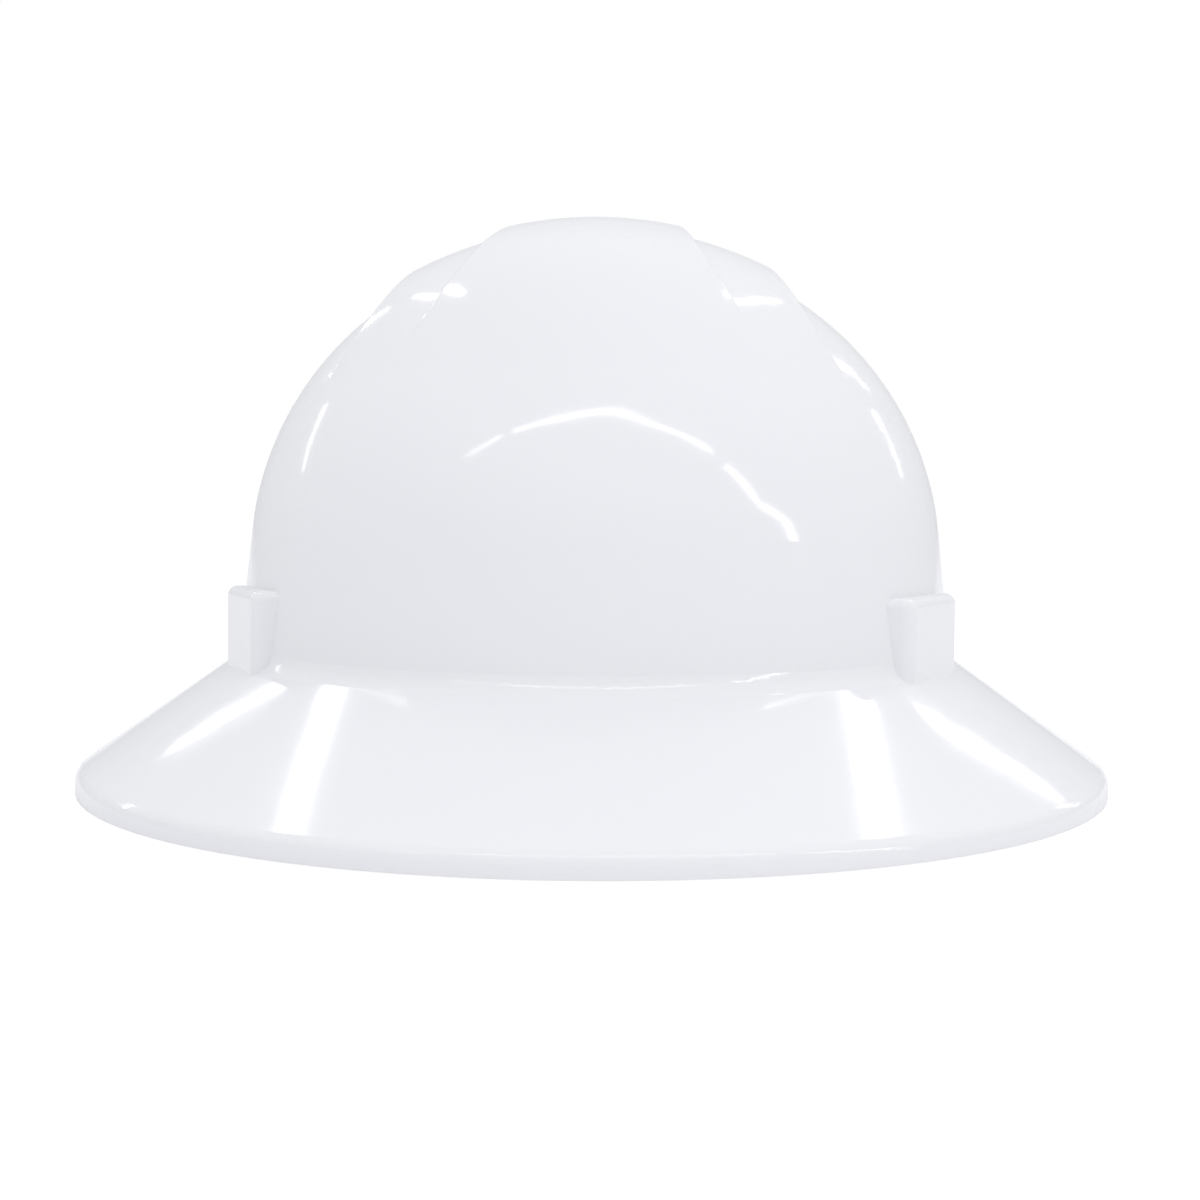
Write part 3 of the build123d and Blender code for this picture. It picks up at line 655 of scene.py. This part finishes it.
def zinc_steel():
    """Zinc plated steel screws: cool metal with fine turning marks and a slightly cloudy plate."""
    material, tree = new_material("zinc_plated_steel")
    place = add_node(tree, "ShaderNodeTexCoord").outputs["Object"]
    cloud = add_node(
        tree, "ShaderNodeTexNoise", {"Vector": place, "Scale": per_metre(1.6), "Detail": 4.0}
    ).outputs["Fac"]
    tint = add_node(
        tree,
        "ShaderNodeMix",
        {MIX_FACTOR: cloud, MIX_A: rgba(linear("B9BCC2")), MIX_B: rgba(linear("D8DADC"))},
        data_type="RGBA",
    )
    plate = add_node(tree, "ShaderNodeMapRange", {"Value": cloud, "To Min": 0.24, "To Max": 0.42})
    turning = add_node(
        tree, "ShaderNodeTexNoise", {"Vector": place, "Scale": per_metre(0.25), "Detail": 1.0}
    )
    marks = add_node(
        tree, "ShaderNodeBump", {"Height": turning.outputs["Fac"], "Distance": 0.01 * MM}
    )
    surface = add_node(
        tree,
        "ShaderNodeBsdfPrincipled",
        {
            "Base Color": tint.outputs[MIX_RESULT],
            "Metallic": 1.0,
            "Roughness": plate.outputs["Result"],
            "Normal": marks.outputs["Normal"],
        },
    )
    add_node(tree, "ShaderNodeOutputMaterial", {"Surface": surface.outputs["BSDF"]})
    return material


# Operators: one for each piece or group of like pieces


class HARDHAT_OT_finish_shell(bpy.types.Operator):
    """Gives the shell its glossy moulded finish"""

    bl_idname = "hardhat.finish_shell"
    bl_label = "Finish Shell"

    def execute(self, context):
        dress(["shell"], glossy_abs(context.scene.hardhat_shell))
        return {"FINISHED"}


class HARDHAT_OT_finish_band(bpy.types.Operator):
    """Gives the keys, the headband, the rack straps and their pins their plastics"""

    bl_idname = "hardhat.finish_band"
    bl_label = "Finish Keys and Band"

    def execute(self, context):
        colour = context.scene.hardhat_suspension.plastic_colour
        keys = [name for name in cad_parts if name.endswith("_key")]
        moulded = satin_nylon("satin_nylon_keys", colour, roughness=0.34, pebble_mm=0.5)
        dress(keys, moulded)
        dress(["headband"], soft_polyethylene(colour))
        straps = [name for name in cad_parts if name.endswith(("_rack_strap", "_strap_pin"))]
        greyer = shade(colour, 0.97)
        dress(straps, satin_nylon("satin_nylon_straps", greyer, roughness=0.3, pebble_mm=0.6))
        return {"FINISHED"}


class HARDHAT_OT_sew_webbing(bpy.types.Operator):
    """Weaves the three crown straps, sews them together at the crown and sews down their loops"""

    bl_idname = "hardhat.sew_webbing"
    bl_label = "Sew Webbing"

    def execute(self, context):
        suspension = context.scene.hardhat_suspension
        # From the lowest strap to the highest, with the way that each runs across the head
        straps = {
            "front_left_to_rear_right_strap": radians(-55.0),
            "front_right_to_rear_left_strap": radians(-125.0),
            "side_to_side_strap": 0.0,
        }
        loop_radius = 2.85 * MM
        webbing_thickness = 1.2 * MM
        thread = suspension.thread
        rows = bmesh.new()
        arches = []
        for name, angle in straps.items():
            low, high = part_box(name)
            turn = Matrix.Rotation(-angle, 3, "Z")
            points = [turn @ v.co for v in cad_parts[name].data.vertices]
            half_width = max(p.y for p in points)
            loops_z = low.z + loop_radius
            rise = high.z - loops_z
            reach = max(p.x for p in points) - loop_radius
            colour = suspension.webbing_colour
            dress([name], woven_webbing(name, colour, angle, reach, rise, loops_z))
            self.sew_loops(rows, angle, reach, rise, loops_z, half_width, thread)
            arches.append((high.z, angle, reach, rise, half_width))
        lowest, highest = arches[0], arches[-1]
        self.sew_crown(rows, lowest[0] - webbing_thickness, *lowest[1:], -1, thread)
        self.sew_crown(rows, *highest, 1, thread)
        white = polyester_thread("white_polyester_thread", suspension.webbing_colour)
        new_piece("webbing_stitches", rows, white, "harness")
        return {"FINISHED"}

    def sew_loops(self, bm, angle, reach, rise, low, half_width, thread):
        """A box and cross of stitches on each doubled end, on the face that looks inward."""
        doubled_thickness = 1.3 * MM
        edge_margin = 2.6 * MM
        box_start, box_end = 7.5 * MM, 15.5 * MM
        stitch, gap = 1.9 * MM, 0.7 * MM
        lean = Vector((0, 0, -0.15))
        turn = Matrix.Rotation(angle, 3, "Z")
        side = half_width - edge_margin
        first, last = asin(box_start / rise), asin(box_end / rise)

        def inward(point):
            flat = Vector((point.x, point.y, 0)).normalized()
            return (lean - flat).normalized()

        for end in (-1, 1):

            def face(across, share):
                swing = first + (last - first) * share
                x = (reach - doubled_thickness) * cos(swing)
                z = low + (rise - doubled_thickness) * sin(swing)
                return turn @ Vector((end * x, across, 0)) + Vector((0, 0, z))

            box = [face(-side, 0), face(side, 0), face(side, 1), face(-side, 1), face(-side, 0)]
            for path in (box, [box[0], box[2]], [box[1], box[3]]):
                sew(bm, path, inward, stitch, gap, thread)

    def sew_crown(self, bm, height, angle, reach, rise, half_width, way, thread):
        """The box and cross of stitches that hold the three straps together where they meet."""
        edge_margin = 3.0 * MM
        stitch, gap = 2.0 * MM, 0.7 * MM
        turn = Matrix.Rotation(angle, 3, "Z")
        half = half_width - edge_margin
        bend = reach * reach / rise

        def face(x, y):
            return turn @ Vector((x, y, 0)) + Vector((0, 0, height - x * x / (2 * bend)))

        def outward(point):
            return Vector((0, 0, way))

        corners = [face(-half, -half), face(half, -half), face(half, half), face(-half, half)]
        middle = face(0, 0)
        for path in (
            [*corners, corners[0]],
            [corners[0], middle, corners[2]],
            [corners[1], middle, corners[3]],
        ):
            sew(bm, path, outward, stitch, gap, thread)


class HARDHAT_OT_pad_brow(bpy.types.Operator):
    """Makes the padded sweatband that hooks under the front of the headband"""

    bl_idname = "hardhat.pad_brow"
    bl_label = "Pad Brow"

    def execute(self, context):
        suspension = context.scene.hardhat_suspension
        low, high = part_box("sweatband")
        foot, top = low.z, high.z

        # The CAD lip is an arc of an ellipse round the head, whose front and ends give its radii
        lip_length = HEAD_CENTRE_Y - low.y
        end_share = (HEAD_CENTRE_Y - high.y) / lip_length
        lip_width = high.x / sqrt(1 - end_share**2)
        lip_stand = 2.9 * MM
        band_half_length = lip_length - lip_stand
        band_half_width = lip_width - lip_stand
        stretch = band_half_length - band_half_width
        swing = asin((HEAD_CENTRE_Y - high.y) / band_half_length)
        first, last = -pi + swing, -swing

        # Radii of the section's walls at the ellipse's narrow side: face, back, hook and lip
        face_stand, back_gap, hook_stand = 3.4 * MM, 0.1 * MM, 1.7 * MM
        inner = band_half_width - face_stand
        outer = band_half_width - back_gap
        hook = band_half_width + hook_stand
        lip = band_half_width + lip_stand

        # The section goes up the lip, down into the hook, up behind the pad and down its face
        foot_corner, lip_corner = 0.5 * MM, 0.4 * MM
        lip_rise, lip_middle, hook_middle, hook_floor = 6.2 * MM, 3.4 * MM, 4.0 * MM, 1.9 * MM
        back_margin, face_margin = 2.6 * MM, 3.2 * MM
        back_rows, face_rows = 8, 14
        back_corner, top_round, foot_round = 0.6 * MM, 1.1 * MM, 1.2 * MM
        top_turn = (0.3 * MM, 0.6 * MM)
        foot_turn = (0.5 * MM, 0.4 * MM)
        face_drop = 1.5 * MM
        section = [
            (lip - foot_corner, foot),
            (lip, foot + foot_corner),
            (lip, foot + lip_middle),
            (lip, foot + lip_rise - lip_corner),
            (lip - lip_corner, foot + lip_rise),
            (hook, foot + lip_rise),
            (hook, foot + hook_middle),
            (hook, foot + hook_floor),
            (outer, foot + hook_floor),
        ]
        back_height = top - foot - back_margin
        for k in range(1, back_rows + 1):
            section.append((outer, foot + hook_floor + back_height * k / back_rows))
        section += [
            (outer - back_corner, top),
            (inner + top_round, top),
            (inner + top_turn[0], top - top_turn[1]),
        ]
        face_height = top - foot - face_margin
        for k in range(face_rows + 1):
            section.append((inner, top - face_drop - face_height * k / face_rows))
        section += [(inner + foot_turn[0], foot + foot_turn[1]), (inner + foot_round, foot)]

        bm = bmesh.new()
        start = Matrix.Rotation(first, 3, "Z")
        loop = [bm.verts.new(start @ Vector((r, 0, z))) for r, z in section]
        edges = [bm.edges.new((a, b)) for a, b in zip(loop, loop[1:] + loop[:1])]
        length = (last - first) * (band_half_width + band_half_length) / 2
        channels = round(length / suspension.channel_spacing)
        steps_per_channel = 10
        bmesh.ops.spin(
            bm,
            geom=loop + edges,
            cent=(0, 0, 0),
            axis=(0, 0, 1),
            dvec=(0, 0, 0),
            angle=last - first,
            steps=channels * steps_per_channel,
        )
        bmesh.ops.holes_fill(bm, edges=[e for e in bm.edges if e.is_boundary], sides=0)

        # The face is pressed in by two sewn rows along the band and by the channels between them
        face_depth, channel_depth = 0.2 * MM, 1.5 * MM
        channel_steepness = 2.2
        seam_margin, seam_half_width = 3.0 * MM, 2.2 * MM
        seams = (foot + seam_margin, top - seam_margin)
        for v in bm.verts:
            angle = atan2(v.co.y, v.co.x)
            radius = hypot(v.co.x, v.co.y)
            if radius < inner + face_depth:
                phase = (angle - first) / (last - first) * channels
                channel = abs(phase - round(phase)) * 2
                puff = sqrt(1 - (1 - min(1.0, channel * channel_steepness)) ** 2)
                to_seam = min(abs(v.co.z - level) for level in seams)
                seam_puff = min(1.0, to_seam / seam_half_width)
                if seams[0] < v.co.z < seams[1]:
                    seam_puff *= puff
                radius += channel_depth * (1 - seam_puff)
                v.co.x, v.co.y = radius * cos(angle), radius * sin(angle)
            v.co.y += stretch * sin(angle) + HEAD_CENTRE_Y
        cloth = terry_cloth(suspension.cloth_colour)
        band = new_piece("padded_sweatband", bm, cloth, "harness")
        soften = band.modifiers.new("soften", "SUBSURF")
        soften.levels = soften.render_levels = 1
        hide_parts("sweatband")

        def inward(point):
            return Vector((-point.x, -point.y, 0)).normalized()

        row_depth = 1.35 * MM
        stitch, gap = 2.4 * MM, 0.9 * MM
        path_steps = 240
        rows = bmesh.new()
        radius = inner + row_depth
        spots = [first + (last - first) * k / path_steps for k in range(path_steps + 1)]
        for level in seams:
            path = [
                Vector((radius * cos(a), (radius + stretch) * sin(a) + HEAD_CENTRE_Y, level))
                for a in spots
            ]
            sew(rows, path, inward, stitch, gap, suspension.thread)
        grey = polyester_thread("grey_polyester_thread", linear("8A8E96"))
        new_piece("sweatband_stitches", rows, grey, "harness")
        return {"FINISHED"}


class HARDHAT_OT_pad_nape(bpy.types.Operator):
    """Makes the soft pad between the ratchet and the back of the head"""

    bl_idname = "hardhat.pad_nape"
    bl_label = "Pad Nape"

    def execute(self, context):
        low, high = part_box("nape_pad")
        thickness = 3.5 * MM
        corner = 6.0 * MM
        seam_from_middle, seam_from_edge = 14.0 * MM, 3.4 * MM
        seam_depth, seam_half_width = 0.8 * MM, 1.6 * MM
        # Shares of the thickness: the face's edge, its crown above that, and the back's rounding
        edge_share, crown_share, back_share = 0.28, 0.72, 0.12
        edge_sharpness = 8
        centre_z = (low.z + high.z) / 2
        outer = high.y - HEAD_CENTRE_Y
        middle = outer - thickness / 2
        half_height = (high.z - low.z) / 2
        half_length = asin(high.x / outer) * middle

        bm = bmesh.new()
        bmesh.ops.create_cube(bm, size=2.0)
        bmesh.ops.subdivide_edges(bm, edges=bm.edges, cuts=31, use_grid_fill=True)
        for v in bm.verts:
            along, up = v.co.x * half_length, v.co.z * half_height
            reach = max(abs(v.co.x), abs(v.co.z))
            over_x = abs(along) - (half_length - corner)
            over_z = abs(up) - (half_height - corner)
            if over_x > 0 and over_z > 0:
                keep = max(over_x, over_z) / hypot(over_x, over_z)
                along = copysign(half_length - corner + over_x * keep, along)
                up = copysign(half_height - corner + over_z * keep, up)
            rounding = sqrt(max(0.0, 1 - reach**edge_sharpness))
            inward = (1 - v.co.y) / 2
            if inward > 0.5:
                to_seam = min(
                    abs(abs(along) - seam_from_middle),
                    abs(half_height * (1 - reach) - seam_from_edge),
                )
                groove = seam_depth * max(0.0, 1 - to_seam / seam_half_width)
                depth = thickness * (edge_share + inward * crown_share * rounding) - groove
            else:
                depth = thickness * back_share * (1 - rounding)
            radius = outer - max(0.0, depth)
            turn = along / middle
            v.co = (radius * sin(turn), HEAD_CENTRE_Y + radius * cos(turn), centre_z + up)
        cloth = knitted_cloth(context.scene.hardhat_suspension.cloth_colour)
        pad = new_piece("padded_nape", bm, cloth, "nape")
        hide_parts("nape_pad")
        return {"FINISHED"}


class HARDHAT_OT_finish_ratchet(bpy.types.Operator):
    """Gives the ratchet's housing, cover, knob, pinion, spring and screws their finishes"""

    bl_idname = "hardhat.finish_ratchet"
    bl_label = "Finish Ratchet"

    def execute(self, context):
        colour = context.scene.hardhat_suspension.knob_colour
        darker, cream = shade(colour, 0.8), linear("D9D5C8")
        housing = satin_nylon("satin_nylon_housing", colour, roughness=0.42, pebble_mm=0.6)
        grained = satin_nylon("grained_nylon_knob", darker, roughness=0.52, pebble_mm=1.0)
        acetal = satin_nylon("natural_acetal", cream, roughness=0.28, pebble_mm=0.4)
        dress(["ratchet_housing", "ratchet_cover"], housing)
        dress(["ratchet_knob"], grained)
        dress(["drive_pinion", "detent_spring"], acetal)
        dress(["cover_screws", "knob_screw"], zinc_steel())
        return {"FINISHED"}


class HARDHAT_OT_set_studio(bpy.types.Operator):
    """Sets up the pale floor, the room, the lamps and the camera"""

    bl_idname = "hardhat.set_studio"
    bl_label = "Set Studio"

    def execute(self, context):
        studio = context.scene.hardhat_studio
        context.scene.view_settings.view_transform = "Standard"
        self.lay_floor(context, studio)
        self.light_room(context, studio)
        self.hang_lamps(context)
        self.place_camera(context, studio)
        return {"FINISHED"}

    def lay_floor(self, context, studio):
        """A matt white floor that takes the shadow, open under the hat and clear from below."""
        material, tree = new_material("matt_white_floor")
        matt = add_node(tree, "ShaderNodeBsdfDiffuse", {"Color": rgba(studio.backdrop_colour)})
        # What the camera sees: nearly white by itself, and a little of the light that falls on it
        faint = add_node(tree, "ShaderNodeBsdfDiffuse", {"Color": (0.16, 0.16, 0.16, 1.0)})
        glow = add_node(tree, "ShaderNodeEmission", {"Color": WHITE, "Strength": 0.9})
        seen = add_node(tree, "ShaderNodeAddShader", {0: faint.outputs[0], 1: glow.outputs[0]})
        rays = add_node(tree, "ShaderNodeLightPath").outputs
        top = add_node(
            tree,
            "ShaderNodeMixShader",
            {0: rays["Is Camera Ray"], 1: matt.outputs[0], 2: seen.outputs[0]},
        )
        clear = add_node(tree, "ShaderNodeBsdfTransparent")
        back = add_node(tree, "ShaderNodeNewGeometry").outputs["Backfacing"]
        sides = add_node(
            tree, "ShaderNodeMixShader", {0: back, 1: top.outputs[0], 2: clear.outputs[0]}
        )
        add_node(tree, "ShaderNodeOutputMaterial", {"Surface": sides.outputs[0]})

        drop = 0.2 * MM
        opening_share = 0.9
        floor_radius = 30.0
        low, high = CAD_BOX
        opening = (opening_share * high[0], opening_share * high[1])
        bm = bmesh.new()
        rings = []
        for half_x, half_y in (opening, (floor_radius, floor_radius)):
            ring = bmesh.ops.create_circle(bm, segments=96, radius=1.0)["verts"]
            bmesh.ops.scale(bm, vec=(half_x, half_y, 1.0), verts=ring)
            bmesh.ops.translate(bm, vec=(0.0, 0.0, low[2] - drop), verts=ring)
            rings += {edge for v in ring for edge in v.link_edges}
        bmesh.ops.bridge_loops(bm, edges=rings)
        bmesh.ops.recalc_face_normals(bm, faces=bm.faces)
        if next(iter(bm.faces)).normal.z < 0:
            bmesh.ops.reverse_faces(bm, faces=bm.faces)
        mesh = bpy.data.meshes.new("floor")
        bm.to_mesh(mesh)
        bm.free()
        mesh.materials.append(material)
        floor = bpy.data.objects.new("floor", mesh)
        context.scene.collection.objects.link(floor)

    def light_room(self, context, studio):
        """A pale room, brighter overhead than at its walls, and white where the camera sees it."""
        world = bpy.data.worlds.new("pale_room")
        context.scene.world = world
        world.use_nodes = True
        tree = world.node_tree
        tree.nodes.clear()
        way = add_node(tree, "ShaderNodeTexCoord").outputs["Generated"]
        up = add_node(tree, "ShaderNodeSeparateXYZ", {"Vector": way}).outputs["Z"]
        strength = add_node(
            tree,
            "ShaderNodeMapRange",
            {
                "Value": up,
                "From Max": 0.8,
                "To Min": studio.wall_light,
                "To Max": studio.ceiling_light,
            },
        ).outputs["Result"]
        room = add_node(
            tree,
            "ShaderNodeBackground",
            {"Color": rgba(linear("F8F9FC")), "Strength": strength},
        )
        white = add_node(tree, "ShaderNodeBackground", {"Color": WHITE, "Strength": 1.0})
        rays = add_node(tree, "ShaderNodeLightPath").outputs
        mix = add_node(
            tree,
            "ShaderNodeMixShader",
            {0: rays["Is Camera Ray"], 1: room.outputs[0], 2: white.outputs[0]},
        )
        add_node(tree, "ShaderNodeOutputWorld", {"Surface": mix.outputs[0]})

    def hang_lamps(self, context):
        """Ceiling tubes in rows, whose reflections draw the long bright lines on the shell."""
        height = 1.9
        # Name, one end and the other on the ceiling in metres, width, radiance
        lamps = (
            ("front_row_1", (-1.75, -1.42), (-1.05, -1.26), 0.06, 7.0),
            ("front_row_2", (-0.88, -1.2), (0.3, -0.97), 0.06, 9.0),
            ("front_row_3", (0.3, -0.97), (1.75, -1.17), 0.07, 9.0),
            ("front_row_4", (2.2, -1.27), (4.0, -1.7), 0.14, 9.0),
            ("front_row_5", (4.2, -1.7), (10.5, -1.85), 0.3, 9.0),
            ("left_row", (-1.12, 0.7), (-1.5, 2.0), 0.08, 7.0),
            ("left_far_row", (-1.87, 2.69), (-2.89, 4.29), 0.07, 7.0),
            ("left_side_row", (-3.2, 2.95), (-6.0, 3.9), 0.12, 6.0),
            ("right_row", (1.0, 0.75), (1.32, 2.1), 0.08, 7.0),
            ("right_far_row", (1.69, 2.8), (2.6, 4.46), 0.07, 7.0),
            ("right_side_row", (3.0, 3.9), (6.0, 6.8), 0.14, 6.0),
        )
        for name, first, last, width, radiance in lamps:
            first, last = Vector(first), Vector(last)
            run = last - first
            lamp = bpy.data.lights.new(name, "AREA")
            lamp.shape = "RECTANGLE"
            lamp.size, lamp.size_y = run.length, width
            lamp.energy = radiance * pi * run.length * width
            holder = bpy.data.objects.new(name, lamp)
            holder.location = (*((first + last) / 2), height)
            holder.rotation_euler = (0, 0, atan2(run.y, run.x))
            context.scene.collection.objects.link(holder)

    def place_camera(self, context, studio):
        """A long lens in front of the hat, a little above it."""
        turn, pitch = studio.camera_turn, studio.camera_pitch
        target = Vector((1.1 * MM, 0.0, 52.3 * MM))
        back = Vector((sin(turn) * cos(pitch), -cos(turn) * cos(pitch), sin(pitch)))
        lens = bpy.data.cameras.new("camera")
        lens.lens = studio.focal_length
        lens.sensor_width = 36.0
        lens.clip_start = 0.01
        camera = bpy.data.objects.new("camera", lens)
        camera.location = target + back * studio.camera_distance
        aim = (-back).to_track_quat("-Z", "Y")
        camera.rotation_euler = (aim @ Quaternion((0, 0, 1), studio.camera_roll)).to_euler()
        context.scene.collection.objects.link(camera)
        context.scene.camera = camera


class HARDHAT_PT_panel(bpy.types.Panel):
    """The hard hat's operators and settings"""

    bl_idname = "HARDHAT_PT_panel"
    bl_label = "Hard Hat"
    bl_space_type = "VIEW_3D"
    bl_region_type = "UI"
    bl_category = "Hard Hat"

    def draw(self, context):
        scene = context.scene
        for operator in OPERATORS:
            self.layout.operator(operator.bl_idname)
        for group in (scene.hardhat_shell, scene.hardhat_suspension, scene.hardhat_studio):
            box = self.layout.box()
            for name in group.bl_rna.properties.keys():
                if name not in ("rna_type", "name"):
                    box.prop(group, name)


OPERATORS = (
    HARDHAT_OT_finish_shell,
    HARDHAT_OT_finish_band,
    HARDHAT_OT_sew_webbing,
    HARDHAT_OT_pad_brow,
    HARDHAT_OT_pad_nape,
    HARDHAT_OT_finish_ratchet,
    HARDHAT_OT_set_studio,
)
SETTINGS = {
    "hardhat_shell": ShellFinish,
    "hardhat_suspension": SuspensionFinish,
    "hardhat_studio": StudioSetup,
}


def register():
    for group in SETTINGS.values():
        bpy.utils.register_class(group)
    for name, group in SETTINGS.items():
        setattr(bpy.types.Scene, name, bpy.props.PointerProperty(type=group))
    for operator in OPERATORS:
        bpy.utils.register_class(operator)
    bpy.utils.register_class(HARDHAT_PT_panel)


def unregister():
    bpy.utils.unregister_class(HARDHAT_PT_panel)
    for operator in reversed(OPERATORS):
        bpy.utils.unregister_class(operator)
    for name, group in SETTINGS.items():
        delattr(bpy.types.Scene, name)
        bpy.utils.unregister_class(group)


def main():
    """Makes everything in order."""
    register()
    bpy.ops.hardhat.finish_shell()
    bpy.ops.hardhat.finish_band()
    bpy.ops.hardhat.sew_webbing()
    bpy.ops.hardhat.pad_brow()
    bpy.ops.hardhat.pad_nape()
    bpy.ops.hardhat.finish_ratchet()
    bpy.ops.hardhat.set_studio()


if __name__ == "__main__":
    main()
